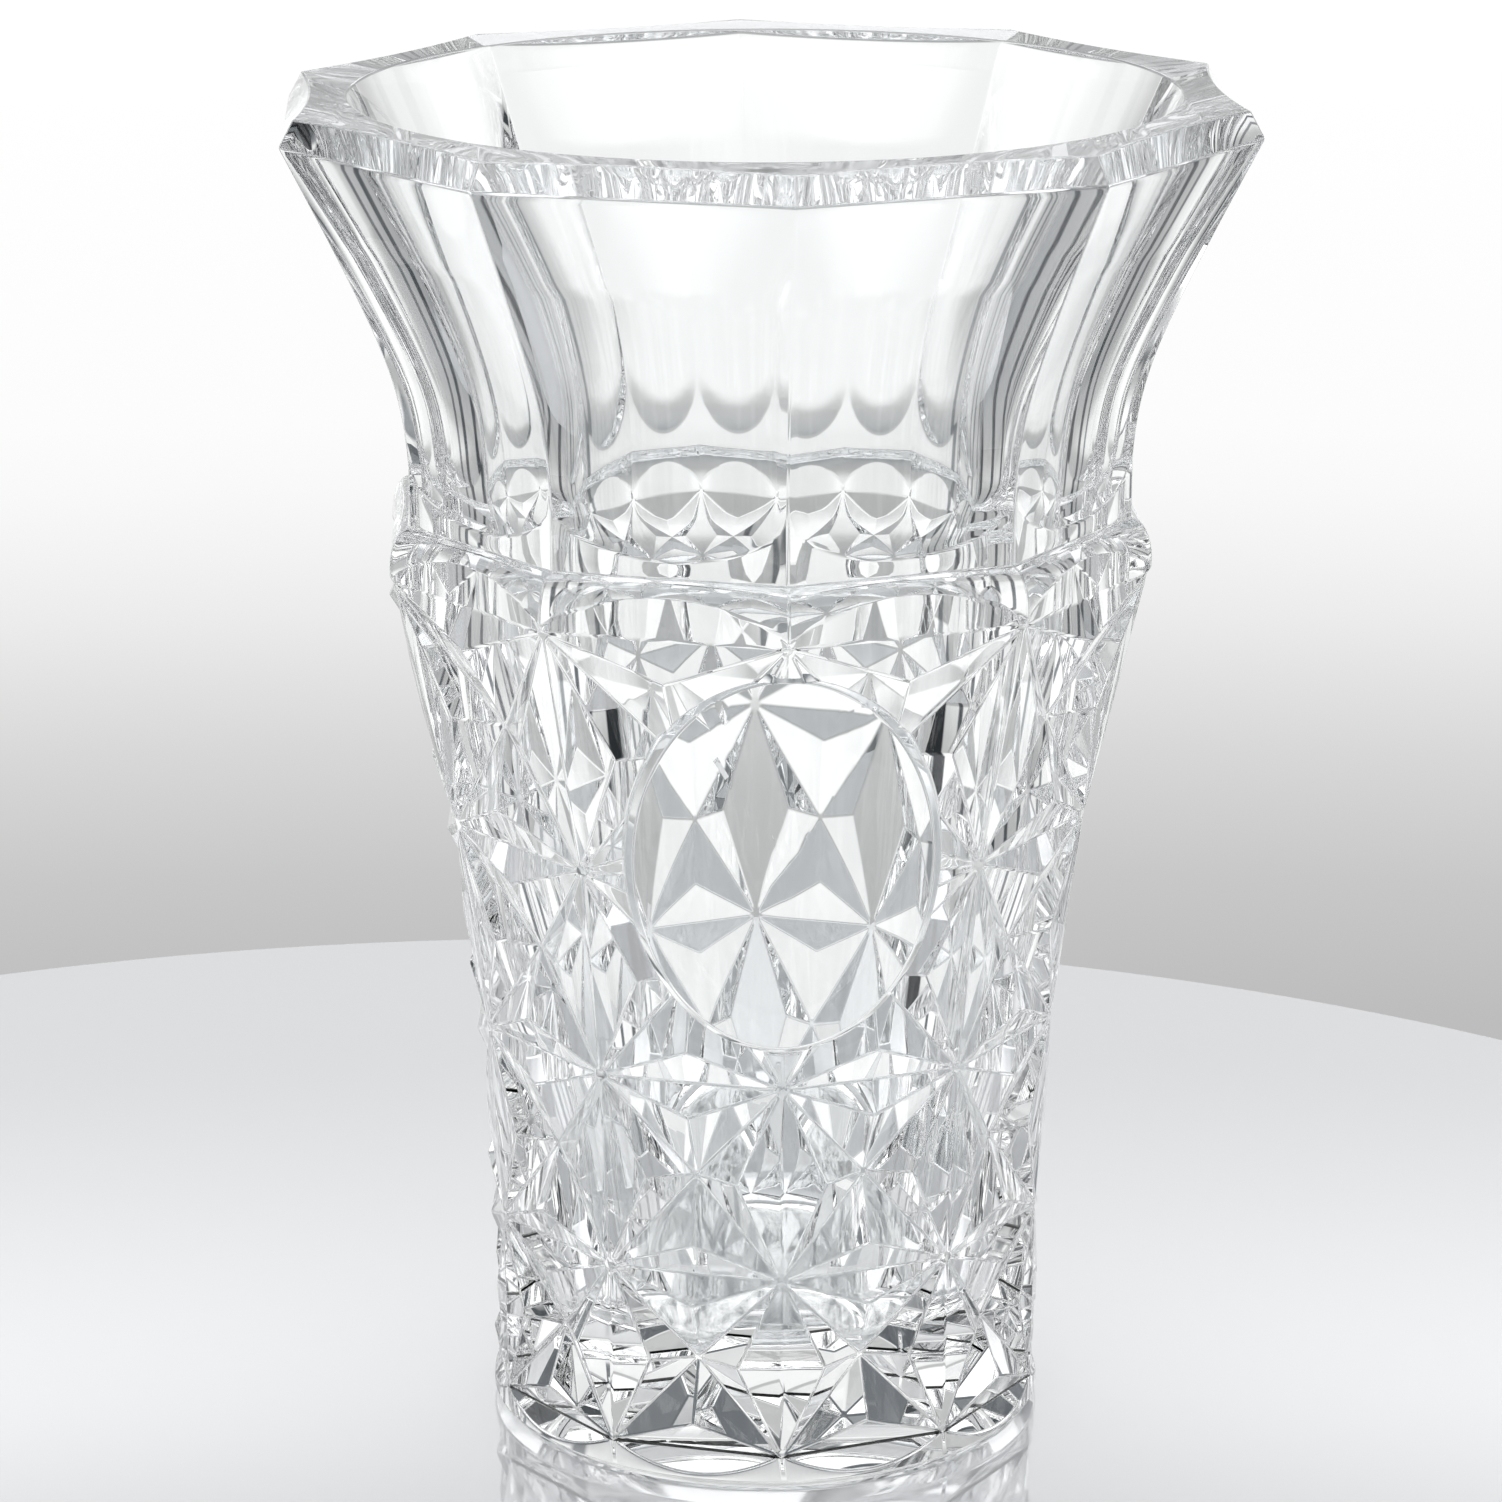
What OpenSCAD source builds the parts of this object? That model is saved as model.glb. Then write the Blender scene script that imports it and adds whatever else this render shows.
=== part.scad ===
// Cut crystal vase: ten fluted sides over a wall of cut stars, with one oval window.
// The origin is at the middle of the resting face, +Z is up, and the window faces -Y.
// One casting, drawn as zones that meet face to face where the cutting changes.

/* [Overall] */
// Height of the vase
height = 250; // [248:1:256]
// Number of flutes, and of star columns
sides = 10; // [8:1:12]

/* [Star wall] */
// Radius of the wall at its lowest stars
wall_foot_r = 52; // [50:0.5:53]
// How far the wall leans out between its lowest and its highest stars
wall_flare = 19.4; // [17:0.2:20]
// How sharply the flare gathers towards the top
flare_power = 2.4; // [2:0.1:3]
// Depth of the crossings between stars, as a share of the wall's radius
crossing_share = 0.915; // [0.9:0.005:0.94]

/* [Bell and rim] */
// Radius of the neck under the flutes
neck_r = 66.75; // [65:0.25:68]
// How far the straight part of the bell leans out for each mm of height
bell_slope = 0.52; // [0.46:0.01:0.54]
// Height at which the bell turns outwards
bell_turn_z = 200; // [196:1:204]
// Depth of a flute below the flat between its two ridges
flute_depth = 1.5; // [0.5:0.1:2]
// Height of the bevelled band around the rim
band_h = 4.9; // [3:0.1:6]
// How far the bevelled band leans in at a corner
band_lean = 2.7; // [1.5:0.1:3.5]

/* [Collar] */
// Radius of the ten-sided bead around the neck, at its corners
bead_r = 72.2; // [71.8:0.1:73]
// How far the bead stands out from the neck
bead_out = 3.9; // [3.5:0.1:4.2]

/* [Window] */
// Half the width of the oval window
window_half_w = 28; // [22:0.5:30]
// Half the height of the oval window, along its slope
window_half_h = 36.6; // [30:0.2:38]
// Height of the middle of the window
window_z = 122.7; // [121:0.1:124]
// Radius of the window's bulge across its width
window_bulge_r = 76; // [72:1:120]

/* [Inside] */
// Thickness of the bottom
floor_z = 22; // [15:1:28]
// Radius of the inside just above its rounded floor
inside_low_r = 32.2; // [30:0.2:34]
// Radius the inside grows to under the neck
inside_body_r = 51; // [49:0.1:52]

/* [Hidden] */
pitch = 360 / sides;
half = pitch / 2;
overcut = 1;

// Heights of the star rows, from the lowest up: each row is taller than the one under it.
star_z = [7.2, 41.8, 79.4, 119.2, 165.4];
window_row = 2;
top_row = len(star_z) - 1;
wall_top_z = star_z[top_row];

// Collar: arched scallops are cut up into the bead, and the flutes scoop down to it from above.
bead_lip_z = 166.4;
bead_crest_z = 168;
bead_top_h = 7.4;
bead_top_z = bead_crest_z + bead_top_h;
scallop_rise = 6.3;
scallop_power = 0.8;
collar_top_z = 187;
cusp_z = 186.8;
scoop_drop = 8.2;
scoop_edge_power = 0.6;
scoop_h = 7;
scoop_power = 2.2;

// Bell
band_z = height - band_h;
bell_turn_h = 14;
flute_run_out = 18;
rim_dip = 2.1;

// Foot
foot_lean = 0.64;
foot_flat_r = 49.5;
foot_edge_h = 2;

// Inside: it widens from the floor up to the neck and flares with the bell
floor_round = 8;
well_z = floor_z + floor_round;
floor_r = inside_low_r - floor_round;
body_power = 1.5;
flare_slope = 0.476;
flare_turn_z = 200.8;
flare_turn_h = 11.7;

// Window: it leans less than the wall, so it stands proud at the bottom and is sunk at the top.
window_tilt = 6.3;
window_arch_r = 500;
window_d = 61.8;
window_bevel = 1.4;
window_reach = 30;

// Grid density
columns = 8;
bell_rows = 14;
scoop_rows = 6;
bead_rows = 5;
inside_rows = 22;
window_points = 48;
face_rings = 5;

crystal = [0.88, 0.92, 0.94];
crystal_deep = [0.80, 0.86, 0.90];
crystal_bright = [0.94, 0.96, 0.97];

// ---- Profiles ----

// Radius of the uncut wall at height z
function wall_r(z) =
    wall_foot_r + wall_flare * pow(max(0, (z - star_z[0]) / (wall_top_z - star_z[0])), flare_power);

// Radius of the sharp ridge between two flutes: an upright neck that turns into a straight flare
function ridge_r(z) =
    neck_r + bell_slope / 2 * (z - bell_turn_z
        + sqrt(pow(z - bell_turn_z, 2) + pow(bell_turn_h, 2)));

// Radius of the bead's corners: upright up to its crest, rounded in to the neck, then upright
function bead_surface_r(z) =
    bead_r - bead_out
        * (1 - sqrt(1 - pow(min(1, max(0, (z - bead_crest_z) / bead_top_h)), 2)));

// Radius of the smooth inside at height z above the rounded corner of the floor
function inside_r(z) = body_r(z) + flare_r(z);
function body_r(z) =
    inside_body_r - (inside_body_r - inside_low_r)
        * pow(max(0, (wall_top_z - z) / (wall_top_z - well_z)), body_power);
function flare_r(z) =
    flare_slope / 2 * (z - flare_turn_z
        + sqrt(pow(z - flare_turn_z, 2) + pow(flare_turn_h, 2)));

// ---- Curves that bound one flute; a is the angle from the middle of the flute ----

// 1 in the middle of a flute and 0 on its ridges
function across(a) = 1 - pow(a / half, 2);

// Radius of a flat side between two corners of radius r
function flat_r(r, a) = r * cos(half) / cos(a);

// Arched top edge of a scallop, on the bead
function scallop_z(a) = bead_lip_z + scallop_rise * pow(max(0, across(a)), scallop_power);

// U-shaped lower end of a flute, on the bead
function scoop_z(a) = cusp_z - scoop_drop * pow(max(0, across(a)), scoop_edge_power);

// Surface of a flute without its scooped end
function plain_flute_r(a, z) =
    (ridge_r(z) * cos(half)
        - flute_depth * across(a) * min(1, max(0, (band_z - z) / flute_run_out))) / cos(a);

// Surface of a flute: the scooped end swells out to the bead
function flute_r(a, z) =
    plain_flute_r(a, z)
        + (flat_r(bead_surface_r(scoop_z(a)), a) - plain_flute_r(a, scoop_z(a)))
        * pow(max(0, 1 - (z - scoop_z(a)) / scoop_h), scoop_power);

// ---- Helpers ----

function polar(r, a, z) = [r * sin(a), -r * cos(a), z];
function mix(a, b, t) = a + (b - a) * t;

// Angle of column i of the grid, and its angle from the middle of its own flute
function column_a(i) = i * pitch / columns;
function flute_a(i) = (i % columns) * pitch / columns - half;
column_count = sides * columns;

// A solid between a stack of rings with the same number of points, from the lowest up. Its
// ends are flat, or the top one rises to a tip.
module ring_stack(rings, tip = undef) {
    n = len(rings[0]);
    last = (len(rings) - 1) * n;
    side_faces = [
        for (low = [0:n:last - n], i = [0:n - 1])
            let (k = (i + 1) % n, high = low + n)
            each [[low + i, high + i, low + k], [low + k, high + i, high + k]]
    ];
    bottom = [for (i = [0:n - 1]) i];
    top = is_undef(tip)
        ? [[for (i = [n - 1:-1:0]) last + i]]
        : [for (i = [0:n - 1]) [last + i, last + n, last + (i + 1) % n]];
    polyhedron(points = concat([for (ring = rings) each ring], is_undef(tip) ? [] : [tip]),
               faces = concat(side_faces, [bottom], top));
}

// The smooth inside of the vase, with a rounded floor
module inside() {
    rotate_extrude($fn = 96)
        polygon(concat(
            [[0, floor_z]],
            [for (i = [0:3]) [
                floor_r + floor_round * sin(i * 22.5),
                floor_z + floor_round * (1 - cos(i * 22.5))
            ]],
            [for (i = [0:inside_rows])
                let (z = mix(well_z, height, i / inside_rows)) [inside_r(z), z]],
            [[inside_r(height), height + overcut], [0, height + overcut]]
        ));
}

// The cut wall between two star rows. Each rectangle between four stars is crossed by two
// grooves, and each of the four triangles they leave is a low pyramid of three flat facets.
module star_wall(first_row, last_row) {
    rows = last_row - first_row;
    stars = [
        for (j = [0:rows], i = [0:sides - 1])
            let (z = star_z[first_row + j]) polar(wall_r(z), i * pitch, z)
    ];
    // For each rectangle: the crossing, then the tips of the bottom, right, top and left pyramids
    tips = [
        for (j = [0:rows - 1], i = [0:sides - 1])
            let (
                low = star_z[first_row + j],
                high = star_z[first_row + j + 1],
                mid = (low + high) / 2,
                a = (i + 0.5) * pitch,
                third = (high - low) / 6
            )
            each [
                polar(wall_r(mid) * crossing_share, a, mid),
                polar(wall_r(low + third), a, low + third),
                polar(wall_r(mid), a + pitch / 4, mid),
                polar(wall_r(high - third), a, high - third),
                polar(wall_r(mid), a - pitch / 4, mid)
            ]
    ];
    first_tip = len(stars);
    facets = [
        for (j = [0:rows - 1], i = [0:sides - 1])
            let (
                next = (i + 1) % sides,
                tip = first_tip + (j * sides + i) * 5,
                corner = [j * sides + i, j * sides + next,
                          (j + 1) * sides + next, (j + 1) * sides + i]
            )
            for (k = [0:3])
                let (from = corner[k], to = corner[(k + 1) % 4])
                each [[from, tip + k + 1, to], [to, tip + k + 1, tip], [tip, tip + k + 1, from]]
    ];
    bottom = [for (i = [0:sides - 1]) i];
    top = [for (i = [sides - 1:-1:0]) rows * sides + i];
    polyhedron(points = concat(stars, tips), faces = concat(facets, [bottom, top]));
}

// Places things on the window: X across, Y up its slope, Z out of the glass
module on_window() {
    translate([0, -window_d, window_z])
        rotate([90 + window_tilt, 0, 0])
            children();
}

// Outline of the window, scaled by a share of its size and drawn in by a margin
function oval(share = 1, margin = 0) = [
    for (i = [0:window_points - 1])
        let (t = i * 360 / window_points)
        [(window_half_w * share - margin) * cos(t), (window_half_h * share - margin) * sin(t)]
];

// How far the bulging face has dropped at a point away from its middle
function bulge_z(p) =
    sqrt(pow(window_bulge_r, 2) - pow(p.x, 2)) - window_bulge_r
        + sqrt(pow(window_arch_r, 2) - pow(p.y, 2)) - window_arch_r;

function oval_at(z, outline) = [for (p = outline) [p.x, p.y, z]];
function oval_on_bulge(drop, outline) = [for (p = outline) [p.x, p.y, bulge_z(p) - drop]];

// Everything inside the oval, right through the wall
module window_cutter() {
    on_window()
        translate([0, 0, -window_reach])
            linear_extrude(window_reach * 1.5) polygon(oval());
}

// ---- Sub-parts ----

module base() {
    color(crystal_deep) {
        intersection() {
            rotate_extrude($fn = 120)
                polygon([[0, 0], [foot_flat_r, 0], [wall_foot_r, foot_edge_h],
                         [wall_foot_r, star_z[0]], [0, star_z[0]]]);
            rotate([0, 0, -90])
                cylinder(r1 = wall_foot_r + star_z[0] * foot_lean / cos(half), r2 = wall_foot_r,
                         h = star_z[0], $fn = sides);
        }
        translate([0, 0, star_z[0]])
            cylinder(r = floor_r, h = floor_z - star_z[0], $fn = 96);
    }
}

module lower_star_wall() {
    color(crystal)
        difference() {
            star_wall(0, window_row);
            inside();
            cylinder(r = floor_r, h = floor_z + overcut, $fn = 96);
        }
}

module upper_star_wall() {
    color(crystal)
        difference() {
            star_wall(window_row, top_row);
            inside();
            window_cutter();
        }
}

// The window has a narrow bevel around a smooth face that bulges gently across its width
module oval_window() {
    face = [for (k = [face_rings:-1:1])
        oval_on_bulge(0, oval(share = k / face_rings, margin = window_bevel * k / face_rings))];
    color(crystal_bright)
        difference() {
            on_window()
                ring_stack(concat(
                    [oval_at(-window_reach, oval()), oval_on_bulge(window_bevel, oval())],
                    face
                ), tip = [0, 0, 0]);
            inside();
        }
}

module collar() {
    n = column_count - 1;
    scallop_chord = [for (i = [0:n])
        polar(flat_r(wall_r(wall_top_z), flute_a(i)), column_a(i), wall_top_z)];
    bead = [for (j = [0:bead_rows]) [for (i = [0:n])
        let (a = flute_a(i), z = mix(scallop_z(a), bead_top_z, j / bead_rows))
        polar(flat_r(bead_surface_r(z), a), column_a(i), z)]];
    neck = [for (i = [0:n])
        let (a = flute_a(i), z = scoop_z(a))
        polar(flat_r(bead_surface_r(z), a), column_a(i), z)];
    scoop = [for (j = [1:scoop_rows]) [for (i = [0:n])
        let (a = flute_a(i), z = mix(scoop_z(a), collar_top_z, j / scoop_rows))
        polar(flute_r(a, z), column_a(i), z)]];
    color(crystal)
        difference() {
            ring_stack(concat([scallop_chord], bead, [neck], scoop));
            inside();
        }
}

module fluted_bell() {
    rings = [for (j = [0:bell_rows]) [for (i = [0:column_count - 1])
        let (z = mix(collar_top_z, band_z, j / bell_rows))
        polar(flute_r(flute_a(i), z), column_a(i), z)]];
    color(crystal)
        difference() {
            ring_stack(rings);
            inside();
        }
}

module rim_band() {
    low = [for (i = [0:column_count - 1])
        polar(flute_r(flute_a(i), band_z), column_a(i), band_z)];
    high = [for (i = [0:column_count - 1])
        let (a = flute_a(i))
        polar(((ridge_r(band_z) - band_lean) * cos(half) - rim_dip * across(a)) / cos(a),
              column_a(i), height)];
    color(crystal_bright)
        difference() {
            ring_stack([low, high]);
            inside();
        }
}

base();
lower_star_wall();
upper_star_wall();
oval_window();
collar();
fluted_bell();
rim_band();
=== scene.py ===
import math

import bmesh
import bpy
from mathutils import Matrix, Vector


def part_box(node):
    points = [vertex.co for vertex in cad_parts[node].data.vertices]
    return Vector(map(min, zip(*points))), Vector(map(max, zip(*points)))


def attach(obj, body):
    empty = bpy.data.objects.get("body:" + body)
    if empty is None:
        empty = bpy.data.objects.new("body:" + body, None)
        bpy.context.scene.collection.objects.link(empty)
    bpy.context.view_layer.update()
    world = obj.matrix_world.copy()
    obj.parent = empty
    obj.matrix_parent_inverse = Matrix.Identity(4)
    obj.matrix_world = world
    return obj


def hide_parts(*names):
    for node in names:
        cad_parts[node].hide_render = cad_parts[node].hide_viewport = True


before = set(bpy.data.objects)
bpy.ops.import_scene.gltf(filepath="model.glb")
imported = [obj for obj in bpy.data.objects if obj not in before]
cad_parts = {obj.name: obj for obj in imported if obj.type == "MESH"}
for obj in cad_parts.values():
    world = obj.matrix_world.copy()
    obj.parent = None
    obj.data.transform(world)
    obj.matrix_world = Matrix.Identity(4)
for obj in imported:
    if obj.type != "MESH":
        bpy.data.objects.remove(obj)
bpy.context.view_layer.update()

mm = 0.001


def nodeLow(node):
    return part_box(node)[0] / mm


def nodeHigh(node):
    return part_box(node)[1] / mm


# Sizes, in millimetres and degrees, from the frame where it holds them

vaseSize = {
    "sides": 10,
    "height": nodeHigh("rim_band").z,
    "weld": 0.02,                # points closer than this become one
}
gridSize = {
    "columns": 32,               # across one flute
    "undersideRings": 3,
    "beadRows": 10,
    "neckRows": 3,
    "scoopRows": 14,
    "bellRows": 40,
    "insideRows": 60,
    "cornerRows": 8,
}
wallSize = {
    "bottom": nodeLow("lower_star_wall").z,
    "top": nodeHigh("upper_star_wall").z,
    "windowRow": nodeLow("upper_star_wall").z,
    "lowerRow": 41.8,
    "upperRow": 119.2,
    "footRadius": nodeHigh("base").x,
    "flare": 19.4,
    "flarePower": 2.4,
    "crossingShare": 0.915,
    "tipPart": 6,                # pyramid tips stand a sixth of a row from its ends
}
footSize = {
    "flatRadius": 49.5,
    "edgeHeight": 2.0,
    "lean": 0.64,                # how far a scallop leans out for each mm of depth
}
collarSize = {
    "beadRadius": nodeHigh("collar").y,
    "beadOut": 3.9,              # how far the bead stands out from the neck
    "beadLip": 166.4,
    "beadCrest": 168.0,
    "beadTopHeight": 7.4,
    "scallopRise": 6.3,
    "scallopPower": 0.8,
    "cusp": 186.8,
    "scoopDrop": 8.2,
    "scoopEdgePower": 0.6,
    "scoopHeight": 7.0,
    "scoopPower": 2.2,
}
bellSize = {
    "neckRadius": 66.75,
    "slope": 0.52,
    "turn": 200.0,
    "turnHeight": 14.0,
    "fluteDepth": 1.5,
    "fluteRunOut": 18.0,
}
rimSize = {
    "bandBottom": nodeLow("rim_band").z,
    "lean": 2.7,
    "dip": 2.1,
}
insideSize = {
    "floor": nodeHigh("base").z,
    "cornerRound": 8.0,
    "lowRadius": 32.2,           # just above the rounded corner
    "bodyRadius": 51.0,          # under the neck
    "bodyPower": 1.5,
    "flareSlope": 0.476,
    "flareTurn": 200.8,
    "flareTurnHeight": 11.7,
}
windowSize = {
    "halfWidth": 28.0,
    "halfHeight": 36.6,
    "centre": 122.7,
    "distance": 61.8,
    "tilt": 6.3,
    "bulgeRadius": 76.0,         # across the window
    "archRadius": 500.0,         # up the window
    "bevel": 1.4,
    "reach": 8.5,
    "clearance": 20.0,           # how far the cutter stands out in front
    "points": 128,
    "rings": 8,
}
edgeSize = {
    "width": 0.4,                # polished roundness of every cut edge
    "segments": 3,
    "gentlest": 7.0,             # degrees: flatter bends are left alone
    "weld": 0.01,
}
crystalSize = {
    "index": 1.545,
    "waves": 30.0,               # length of a polishing wave
    "waveDepth": 0.006,
    "haze": 0.003,
    "hazeFrom": 0.45,            # share of the wave's height where haze begins
    "hazeFull": 0.75,
}
tableSize = {
    "radius": 348.0,
    "centre": (-46.0, -76.0),    # seen square on from the camera
    "gap": 0.3,
    "thickness": 12.0,
    "segments": 256,
}
viewSize = {
    "azimuth": 3.26,
    "pitch": 16.28,
    "distance": 932.7,
    "height": 398.9,
    "lens": 125.2,
    "sensor": 36.0,
    "shift": -0.0095,
}

pitch = math.tau / vaseSize["sides"]
half = pitch / 2


# Profiles and curves

def wallRadius(z):
    share = (z - wallSize["bottom"]) / (wallSize["top"] - wallSize["bottom"])
    return wallSize["footRadius"] + wallSize["flare"] * max(0.0, share) ** wallSize["flarePower"]


def ridgeRadius(z):
    rise = z - bellSize["turn"]
    return bellSize["neckRadius"] + bellSize["slope"] / 2 * (rise + math.hypot(rise, bellSize["turnHeight"]))


def beadRadius(z):
    share = min(1.0, max(0.0, (z - collarSize["beadCrest"]) / collarSize["beadTopHeight"]))
    return collarSize["beadRadius"] - collarSize["beadOut"] * (1 - math.sqrt(1 - share ** 2))


def insideRadius(z):
    low = insideSize["floor"] + insideSize["cornerRound"]
    share = max(0.0, (wallSize["top"] - z) / (wallSize["top"] - low))
    shrink = (insideSize["bodyRadius"] - insideSize["lowRadius"]) * share ** insideSize["bodyPower"]
    rise = z - insideSize["flareTurn"]
    flare = insideSize["flareSlope"] / 2 * (rise + math.hypot(rise, insideSize["flareTurnHeight"]))
    return insideSize["bodyRadius"] - shrink + flare


def across(a):                   # 1 in the middle of a flute, 0 on its ridges
    return max(0.0, 1 - (a / half) ** 2)


def flatSide(r, a):              # radius of a flat side between two corners of radius r
    return r * math.cos(half) / math.cos(a)


def scallopTop(a):
    return collarSize["beadLip"] + collarSize["scallopRise"] * across(a) ** collarSize["scallopPower"]


def scoopEnd(a):
    return collarSize["cusp"] - collarSize["scoopDrop"] * across(a) ** collarSize["scoopEdgePower"]


def plainFluteRadius(a, z):
    fade = min(1.0, max(0.0, (rimSize["bandBottom"] - z) / bellSize["fluteRunOut"]))
    return (ridgeRadius(z) * math.cos(half) - bellSize["fluteDepth"] * across(a) * fade) / math.cos(a)


def fluteRadius(a, z):
    end = scoopEnd(a)
    swell = flatSide(beadRadius(end), a) - plainFluteRadius(a, end)
    share = max(0.0, 1 - (z - end) / collarSize["scoopHeight"])
    return plainFluteRadius(a, z) + swell * share ** collarSize["scoopPower"]


def footScallopEnd(a):
    chord = wallSize["footRadius"] * math.cos(half)
    return wallSize["bottom"] - (wallSize["footRadius"] * math.cos(a) - chord) / footSize["lean"]


def polar(r, a, z):
    return Vector((r * math.sin(a), -r * math.cos(a), z)) * mm


# One tenth of the vase, from one star column to the next
def sectorMesh():
    bm = bmesh.new()
    n = gridSize["columns"]
    steps = [i / n for i in range(n + 1)]

    def ring(radiusAt, heightAt):
        row = []
        for s in steps:
            a = (s - 0.5) * pitch
            z = heightAt(a)
            row.append(bm.verts.new(polar(radiusAt(a, z), s * pitch, z)))
        return row

    def band(low, high):
        for i in range(n):
            bm.faces.new((low[i], low[i + 1], high[i + 1], high[i]))

    def stack(rings):
        for low, high in zip(rings, rings[1:]):
            band(low, high)

    def level(z):
        return lambda a: z

    # underside and foot
    footCentre = bm.verts.new((0, 0, 0))
    rings = gridSize["undersideRings"]
    underside = [ring(lambda a, z, r=footSize["flatRadius"] * k / rings: r, level(0))
                 for k in range(1, rings + 1)]
    for i in range(n):
        bm.faces.new((footCentre, underside[0][i + 1], underside[0][i]))
    stack(underside)
    footEdge = ring(lambda a, z: wallSize["footRadius"], level(footSize["edgeHeight"]))
    footCut = ring(lambda a, z: wallSize["footRadius"], footScallopEnd)
    bottomChord = ring(lambda a, z: flatSide(wallSize["footRadius"], a), level(wallSize["bottom"]))
    stack([underside[-1], footEdge, footCut, bottomChord])

    # collar, flute and rim
    topChord = ring(lambda a, z: flatSide(wallRadius(z), a), level(wallSize["top"]))
    collarRings = [topChord]
    beadRows, neckRows = gridSize["beadRows"], gridSize["neckRows"]
    scoopRows, bellRows = gridSize["scoopRows"], gridSize["bellRows"]
    beadTop = collarSize["beadCrest"] + collarSize["beadTopHeight"]
    for j in range(beadRows + 1):
        collarRings.append(ring(lambda a, z: flatSide(beadRadius(z), a),
                                lambda a, t=j / beadRows: scallopTop(a) + (beadTop - scallopTop(a)) * t))
    for j in range(1, neckRows + 1):
        collarRings.append(ring(lambda a, z: flatSide(beadRadius(z), a),
                                lambda a, t=j / neckRows: beadTop + (scoopEnd(a) - beadTop) * t))
    scoopTop = collarSize["cusp"] + collarSize["scoopHeight"]
    for j in range(1, scoopRows + 1):
        t = j / scoopRows
        collarRings.append(ring(fluteRadius, lambda a, t=t: scoopEnd(a) + (scoopTop - scoopEnd(a)) * t))
    for j in range(1, bellRows + 1):
        z = scoopTop + (rimSize["bandBottom"] - scoopTop) * j / bellRows
        collarRings.append(ring(fluteRadius, level(z)))
    cornerIn = ridgeRadius(rimSize["bandBottom"]) - rimSize["lean"]
    rimTop = ring(lambda a, z: (cornerIn * math.cos(half) - rimSize["dip"] * across(a)) / math.cos(a),
                  level(vaseSize["height"]))
    collarRings.append(rimTop)

    # inside, from the mouth down to the floor
    insideRows, cornerRows = gridSize["insideRows"], gridSize["cornerRows"]
    base = insideSize["floor"] + insideSize["cornerRound"]
    inner = []
    for j in range(insideRows + 1):
        z = vaseSize["height"] + (base - vaseSize["height"]) * j / insideRows
        inner.append(ring(lambda a, z: insideRadius(z), level(z)))
    cornerR = insideRadius(base)
    for j in range(1, cornerRows + 1):
        turn = math.radians(90 * j / cornerRows)
        r = cornerR - insideSize["cornerRound"] * (1 - math.cos(turn))
        z = base - insideSize["cornerRound"] * math.sin(turn)
        inner.append(ring(lambda a, zz, r=r: r, level(z)))
    stack(collarRings + inner)
    floorCentre = bm.verts.new((0, 0, insideSize["floor"] * mm))
    last = inner[-1]
    for i in range(n):
        bm.faces.new((last[i], last[i + 1], floorCentre))

    # the star wall: rectangles, one above the other
    rowHeights = [wallSize["bottom"], wallSize["lowerRow"], wallSize["windowRow"],
                  wallSize["upperRow"], wallSize["top"]]
    lowEdge = bottomChord
    rows = len(rowHeights) - 1
    for j in range(rows):
        low, high = rowHeights[j], rowHeights[j + 1]
        mid, inset = (low + high) / 2, (high - low) / wallSize["tipPart"]
        if j == rows - 1:
            highEdge = topChord
        else:
            highEdge = [bm.verts.new(polar(wallRadius(high), s * pitch, high)) for s in (0, 1)]
        crossing = bm.verts.new(polar(wallRadius(mid) * wallSize["crossingShare"], half, mid))
        tips = [bm.verts.new(polar(wallRadius(z), a, z)) for z, a in (
            (low + inset, half), (mid, half + pitch / 4), (high - inset, half), (mid, half - pitch / 4))]
        edges = [lowEdge, [lowEdge[-1], highEdge[-1]], highEdge[::-1], [highEdge[0], lowEdge[0]]]
        for edge, tip in zip(edges, tips):
            bm.faces.new(edge + [tip])
            bm.faces.new((edge[-1], crossing, tip))
            bm.faces.new((crossing, edge[0], tip))
        lowEdge = highEdge
    mesh = bpy.data.meshes.new("vaseSector")
    bm.to_mesh(mesh)
    bm.free()
    return mesh


# Geometry Nodes: repeat a sector around the axis

def addNode(tree, kind, links=None, **settings):
    node = tree.nodes.new(kind)
    for key, value in settings.items():
        setattr(node, key, value)
    for socket, source in (links or {}).items():
        if hasattr(source, "links"):
            tree.links.new(source, node.inputs[socket])
        else:
            node.inputs[socket].default_value = source
    return node


def repeatTree(material):
    tree = bpy.data.node_groups.new("repeatAround", "GeometryNodeTree")
    face = tree.interface
    face.new_socket("Sector", in_out="INPUT", socket_type="NodeSocketGeometry")
    face.new_socket("Count", in_out="INPUT", socket_type="NodeSocketInt")
    face.new_socket("Weld", in_out="INPUT", socket_type="NodeSocketFloat")
    face.new_socket("Vase", in_out="OUTPUT", socket_type="NodeSocketGeometry")
    given = addNode(tree, "NodeGroupInput")
    points = addNode(tree, "GeometryNodeMeshLine", {"Count": given.outputs["Count"], "Offset": (0, 0, 0)})
    index = addNode(tree, "GeometryNodeInputIndex")
    step = addNode(tree, "ShaderNodeMath", {0: math.tau, 1: given.outputs["Count"]}, operation="DIVIDE")
    turn = addNode(tree, "ShaderNodeMath", {0: index.outputs[0], 1: step.outputs[0]}, operation="MULTIPLY")
    spin = addNode(tree, "ShaderNodeCombineXYZ", {"Z": turn.outputs[0]})
    copies = addNode(tree, "GeometryNodeInstanceOnPoints", {
        "Points": points.outputs[0], "Instance": given.outputs["Sector"], "Rotation": spin.outputs[0]})
    real = addNode(tree, "GeometryNodeRealizeInstances", {"Geometry": copies.outputs[0]})
    weld = addNode(tree, "GeometryNodeMergeByDistance", {
        "Geometry": real.outputs[0], "Distance": given.outputs["Weld"]})
    paint = addNode(tree, "GeometryNodeSetMaterial", {"Geometry": weld.outputs[0], "Material": material})
    addNode(tree, "NodeGroupOutput", {"Vase": paint.outputs[0]})
    return tree


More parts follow.
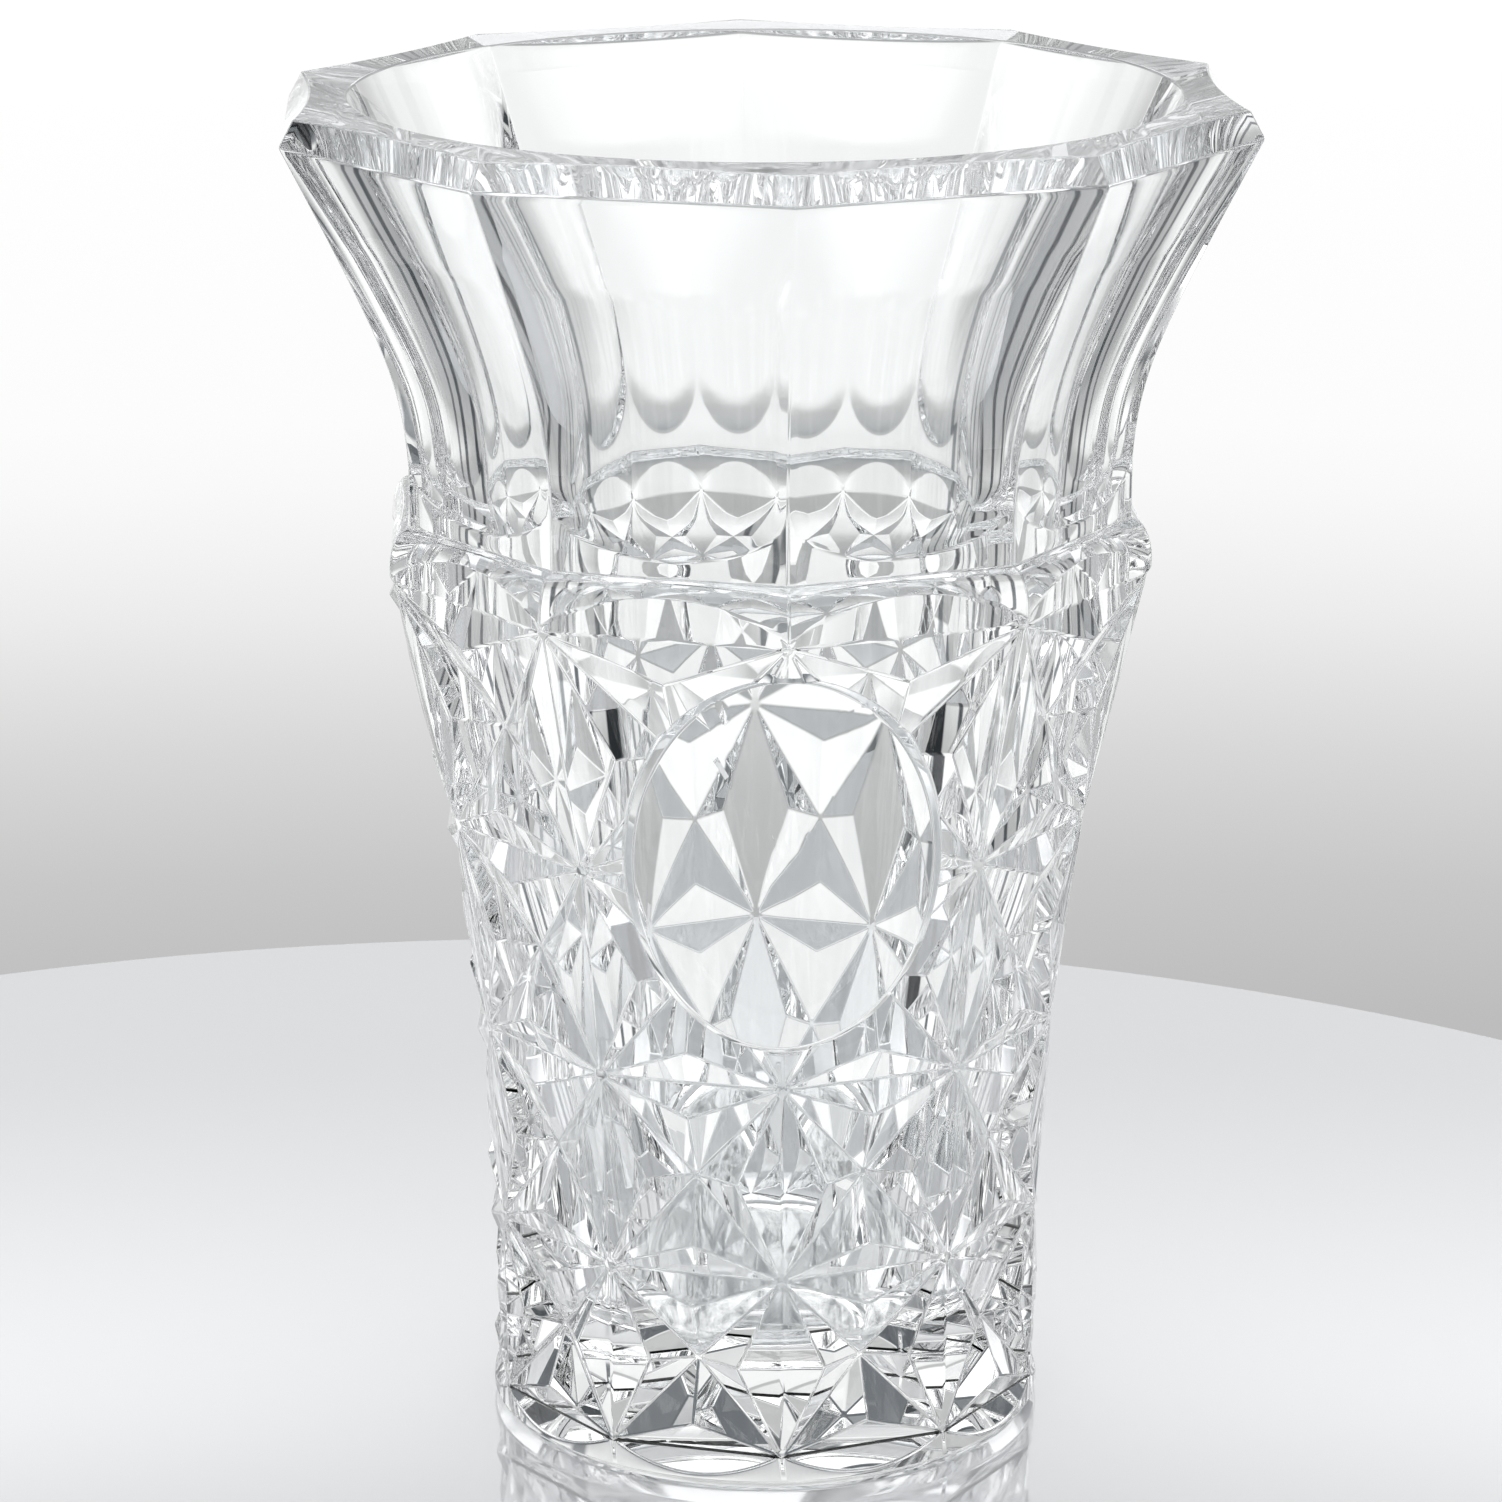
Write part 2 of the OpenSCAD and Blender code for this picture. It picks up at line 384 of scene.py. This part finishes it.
def setInputs(modifier, values):
    ids = {item.name: item.identifier for item in modifier.node_group.interface.items_tree
           if item.in_out == "INPUT"}
    for name, value in values.items():
        modifier[ids[name]] = value


def makePlain(piece):
    graph = bpy.context.evaluated_depsgraph_get()
    mesh = bpy.data.meshes.new_from_object(piece.evaluated_get(graph))
    piece.modifiers.clear()
    piece.data = mesh
    return piece


def newObject(name, mesh):
    piece = bpy.data.objects.new(name, mesh)
    bpy.context.scene.collection.objects.link(piece)
    return piece


# The oval window

def windowMatrix():
    turn = Matrix.Rotation(math.radians(90 + windowSize["tilt"]), 4, "X")
    return Matrix.Translation(Vector((0, -windowSize["distance"], windowSize["centre"])) * mm) @ turn


def bulgeDrop(x, y):
    wide, high = windowSize["bulgeRadius"], windowSize["archRadius"]
    return math.sqrt(wide ** 2 - x * x) - wide + math.sqrt(high ** 2 - y * y) - high


def ovalSolid(name, rings):
    bm = bmesh.new()
    n = windowSize["points"]
    place = windowMatrix()
    loops = []
    for share, margin, heightAt in rings:
        loop = []
        for i in range(n):
            t = math.tau * i / n
            x = (windowSize["halfWidth"] * share - margin * share) * math.cos(t)
            y = (windowSize["halfHeight"] * share - margin * share) * math.sin(t)
            loop.append(bm.verts.new(place @ (Vector((x, y, heightAt(x, y))) * mm)))
        loops.append(loop)
    for low, high in zip(loops, loops[1:]):
        for i in range(n):
            k = (i + 1) % n
            bm.faces.new((low[i], low[k], high[k], high[i]))
    for loop, heightAt in ((loops[0], rings[0][2]), (loops[-1], rings[-1][2])):
        centre = bm.verts.new(place @ (Vector((0, 0, heightAt(0, 0))) * mm))
        for i in range(n):
            bm.faces.new((loop[i], loop[(i + 1) % n], centre))
    bmesh.ops.recalc_face_normals(bm, faces=bm.faces)
    mesh = bpy.data.meshes.new(name)
    bm.to_mesh(mesh)
    bm.free()
    return newObject(name, mesh)


def cutWindow(vase, material):
    bevel = windowSize["bevel"]
    rings = windowSize["rings"]
    faceRings = [(k / rings, bevel, bulgeDrop) for k in range(rings, 0, -1)]
    front = [(1, 0, lambda x, y: windowSize["clearance"])]
    edge = [(1, 0, lambda x, y: bulgeDrop(x, y) - bevel)]
    back = [(1, 0, lambda x, y: 2 * bulgeDrop(x, 0) - windowSize["reach"])]
    plug = ovalSolid("windowPlug", back + edge + faceRings)
    air = ovalSolid("windowAir", front + edge + faceRings)
    for name, tool, kind in (("clear", air, "DIFFERENCE"), ("fill", plug, "UNION")):
        cut = vase.modifiers.new(name, "BOOLEAN")
        cut.operation = kind
        cut.solver = "EXACT"
        cut.object = tool
    makePlain(vase)
    vase.data.materials.clear()
    vase.data.materials.append(material)
    for face in vase.data.polygons:
        face.material_index = 0
    for tool in (plug, air):
        bpy.data.objects.remove(tool)


# Material

def srgb(hexColour):
    parts = [int(hexColour[i:i + 2], 16) / 255 for i in (0, 2, 4)]
    return tuple(c / 12.92 if c <= 0.04045 else ((c + 0.055) / 1.055) ** 2.4 for c in parts) + (1.0,)


# Clear colourless lead crystal: faint waves from polishing by hand, and a trace of haze in places.
def polishedLeadCrystal():
    material = bpy.data.materials.new("polished lead crystal")
    material.use_nodes = True
    tree = material.node_tree
    shader = tree.nodes["Principled BSDF"]
    shader.inputs["Base Color"].default_value = srgb("fdfefe")
    shader.inputs["Transmission Weight"].default_value = 1.0
    shader.inputs["IOR"].default_value = crystalSize["index"]
    where = addNode(tree, "ShaderNodeTexCoord")
    waves = addNode(tree, "ShaderNodeTexNoise", {
        "Vector": where.outputs["Object"], "Scale": 1 / (crystalSize["waves"] * mm), "Detail": 1.0})
    haze = addNode(tree, "ShaderNodeMapRange", {
        "Value": waves.outputs["Fac"], "From Min": crystalSize["hazeFrom"],
        "From Max": crystalSize["hazeFull"], "To Max": crystalSize["haze"]})
    bump = addNode(tree, "ShaderNodeBump", {
        "Height": waves.outputs["Fac"], "Distance": crystalSize["waveDepth"] * mm})
    tree.links.new(haze.outputs[0], shader.inputs["Roughness"])
    tree.links.new(bump.outputs[0], shader.inputs["Normal"])
    return material


def softenEdges(piece):
    bm = bmesh.new()
    bm.from_mesh(piece.data)
    bmesh.ops.remove_doubles(bm, verts=bm.verts, dist=edgeSize["weld"] * mm)
    bmesh.ops.dissolve_degenerate(bm, edges=bm.edges, dist=edgeSize["weld"] * mm)
    bmesh.ops.recalc_face_normals(bm, faces=bm.faces)
    weight = bm.edges.layers.float.new("bevel_weight_edge")
    for edge in bm.edges:
        if len(edge.link_faces) == 2 and edge.calc_face_angle(0) > math.radians(edgeSize["gentlest"]):
            # only where the narrower of the two faces has room for the rounding
            narrower = min(face.calc_area() for face in edge.link_faces) / edge.calc_length()
            if narrower > edgeSize["width"] * mm:
                edge[weight] = 1.0
    bm.to_mesh(piece.data)
    bm.free()
    bevel = piece.modifiers.new("polish", "BEVEL")
    bevel.limit_method = "WEIGHT"
    bevel.width = edgeSize["width"] * mm
    bevel.segments = edgeSize["segments"]
    bevel.use_clamp_overlap = False
    makePlain(piece)
    for face in piece.data.polygons:
        face.use_smooth = True
    # the broad facets stay flat, and only the narrow rounded edges are shaded as curved
    even = piece.modifiers.new("facets", "WEIGHTED_NORMAL")
    even.mode = "FACE_AREA"
    even.weight = 100
    makePlain(piece)


def buildVase():
    crystal = polishedLeadCrystal()
    vase = newObject("crystal_vase", sectorMesh())
    repeat = vase.modifiers.new("repeat", "NODES")
    repeat.node_group = repeatTree(crystal)
    setInputs(repeat, {"Count": vaseSize["sides"], "Weld": vaseSize["weld"] * mm})
    makePlain(vase)
    cutWindow(vase, crystal)
    softenEdges(vase)
    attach(vase, "root")
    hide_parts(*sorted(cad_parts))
    print("vase:", len(vase.data.vertices), "points,", len(vase.data.polygons), "faces")


# Stage

# Cast white acrylic, polished: it mirrors the vase more strongly than plain plastic would.
def whiteAcrylicSheet():
    material = bpy.data.materials.new("white acrylic sheet")
    material.use_nodes = True
    shader = material.node_tree.nodes["Principled BSDF"]
    shader.inputs["Base Color"].default_value = srgb("f6f7f9")
    shader.inputs["Roughness"].default_value = 0.05
    shader.inputs["IOR"].default_value = 1.49
    shader.inputs["Metallic"].default_value = 0.45
    return material


def makeTable():
    bm = bmesh.new()
    turn = math.radians(viewSize["azimuth"])
    cx, cy = tableSize["centre"]
    x = cx * math.cos(turn) + cy * math.sin(turn)
    y = -cx * math.sin(turn) + cy * math.cos(turn)
    place = Matrix.Translation(Vector((x, y, -tableSize["gap"] - tableSize["thickness"] / 2)) * mm)
    bmesh.ops.create_cone(bm, cap_ends=True, segments=tableSize["segments"],
                          radius1=tableSize["radius"] * mm, radius2=tableSize["radius"] * mm,
                          depth=tableSize["thickness"] * mm, matrix=place)
    mesh = bpy.data.meshes.new("table")
    bm.to_mesh(mesh)
    bm.free()
    table = newObject("table", mesh)
    table.data.materials.append(whiteAcrylicSheet())


# Brightness by height in degrees: grey floor, the sweep's glow, a dim band, then the overhead softbox
heightTones = [
    (-90, .2), (-42, .3), (-30, .42), (-22, .47), (-19, .51), (-17.5, .58), (-16, .70), (-14.5, .86),
    (-13, .97), (-9, 1.0), (-5, 1.2), (0, 1.15), (5, .8), (10, .55), (15.5, .55), (19.7, .6),
    (22.3, 1.0), (23.4, 1.0), (24.4, .75), (26, .35), (30, .12), (40, .22), (46, 1.7), (90, 1.7)]
# Brightness by bearing in degrees from the camera's side: dark room, strip lights and black cards
bearingTones = [
    (0, .14), (22, .12), (32, .05), (36, .9), (41, .9), (43, .05), (59, .05), (61, .9), (67, .9),
    (69, .04), (81, .04), (82, 1), (93, 1), (94, .12), (97, .12), (98, 1), (108, 1), (109, .15),
    (112, .15), (113, 1), (125, 1), (126, .15), (130, .15), (131, 1), (138, 1), (139, .3),
    (142, .3), (143, 1), (180, 1)]
cardTops = (36, 46)              # degrees: above these only the overhead softbox counts
shadowTint = 0.12                # how much cooler the darkest tones are


def toneRamp(tree, value, stops, low, high):
    share = addNode(tree, "ShaderNodeMapRange", {
        "Value": value, "From Min": math.radians(low), "From Max": math.radians(high)})
    ramp = addNode(tree, "ShaderNodeValToRGB", {"Fac": share.outputs[0]})
    elements = ramp.color_ramp.elements
    elements.remove(elements[1])
    for i, (angle, tone) in enumerate(stops):
        place = (angle - low) / (high - low)
        stop = elements[0] if i == 0 else elements.new(place)
        stop.position = place
        cool = shadowTint * max(0.0, 1 - 2 * tone)
        stop.color = (tone * (1 - cool), tone, tone * (1 + cool), 1)
    return ramp


def makeWorld():
    world = bpy.data.worlds.new("studio")
    bpy.context.scene.world = world
    world.use_nodes = True
    tree = world.node_tree
    tree.nodes.clear()
    where = addNode(tree, "ShaderNodeTexCoord")
    parts = addNode(tree, "ShaderNodeSeparateXYZ", {0: where.outputs["Generated"]})
    lift = addNode(tree, "ShaderNodeMath", {0: parts.outputs["Z"]}, operation="ARCSINE")
    heights = toneRamp(tree, lift.outputs[0], heightTones, -90, 90)
    ahead = addNode(tree, "ShaderNodeMath", {0: parts.outputs["Y"], 1: -1.0}, operation="MULTIPLY")
    bearing = addNode(tree, "ShaderNodeMath", {0: parts.outputs["X"], 1: ahead.outputs[0]},
                      operation="ARCTAN2")
    eitherSide = addNode(tree, "ShaderNodeMath", {0: bearing.outputs[0]}, operation="ABSOLUTE")
    bearings = toneRamp(tree, eitherSide.outputs[0], bearingTones, 0, 180)
    aboveCards = addNode(tree, "ShaderNodeMapRange", {
        "Value": lift.outputs[0],
        "From Min": math.radians(cardTops[0]), "From Max": math.radians(cardTops[1])})
    cards = addNode(tree, "ShaderNodeMix", {
        0: aboveCards.outputs[0], 6: bearings.outputs[0], 7: (1, 1, 1, 1)}, data_type="RGBA")
    light = addNode(tree, "ShaderNodeMix", {0: 1.0, 6: heights.outputs[0], 7: cards.outputs[2]},
                    data_type="RGBA", blend_type="MULTIPLY")
    sky = addNode(tree, "ShaderNodeBackground", {"Color": light.outputs[2], "Strength": 1.0})
    addNode(tree, "ShaderNodeOutputWorld", {"Surface": sky.outputs[0]})


def makeCamera():
    data = bpy.data.cameras.new("camera")
    data.lens = viewSize["lens"]
    data.sensor_width = viewSize["sensor"]
    data.shift_x = viewSize["shift"]
    camera = newObject("camera", data)
    turn = math.radians(viewSize["azimuth"])
    camera.location = Vector((-viewSize["distance"] * math.sin(turn), -viewSize["distance"] * math.cos(turn),
                              viewSize["height"])) * mm
    camera.rotation_euler = (math.radians(90 - viewSize["pitch"]), 0, -turn)
    bpy.context.scene.camera = camera


buildVase()
makeTable()
print("table")
makeWorld()
makeCamera()
print("lights and camera")
scene = bpy.context.scene
scene.view_settings.view_transform = "Standard"
scene.cycles.max_bounces = 32
scene.cycles.transmission_bounces = 32
scene.cycles.glossy_bounces = 16
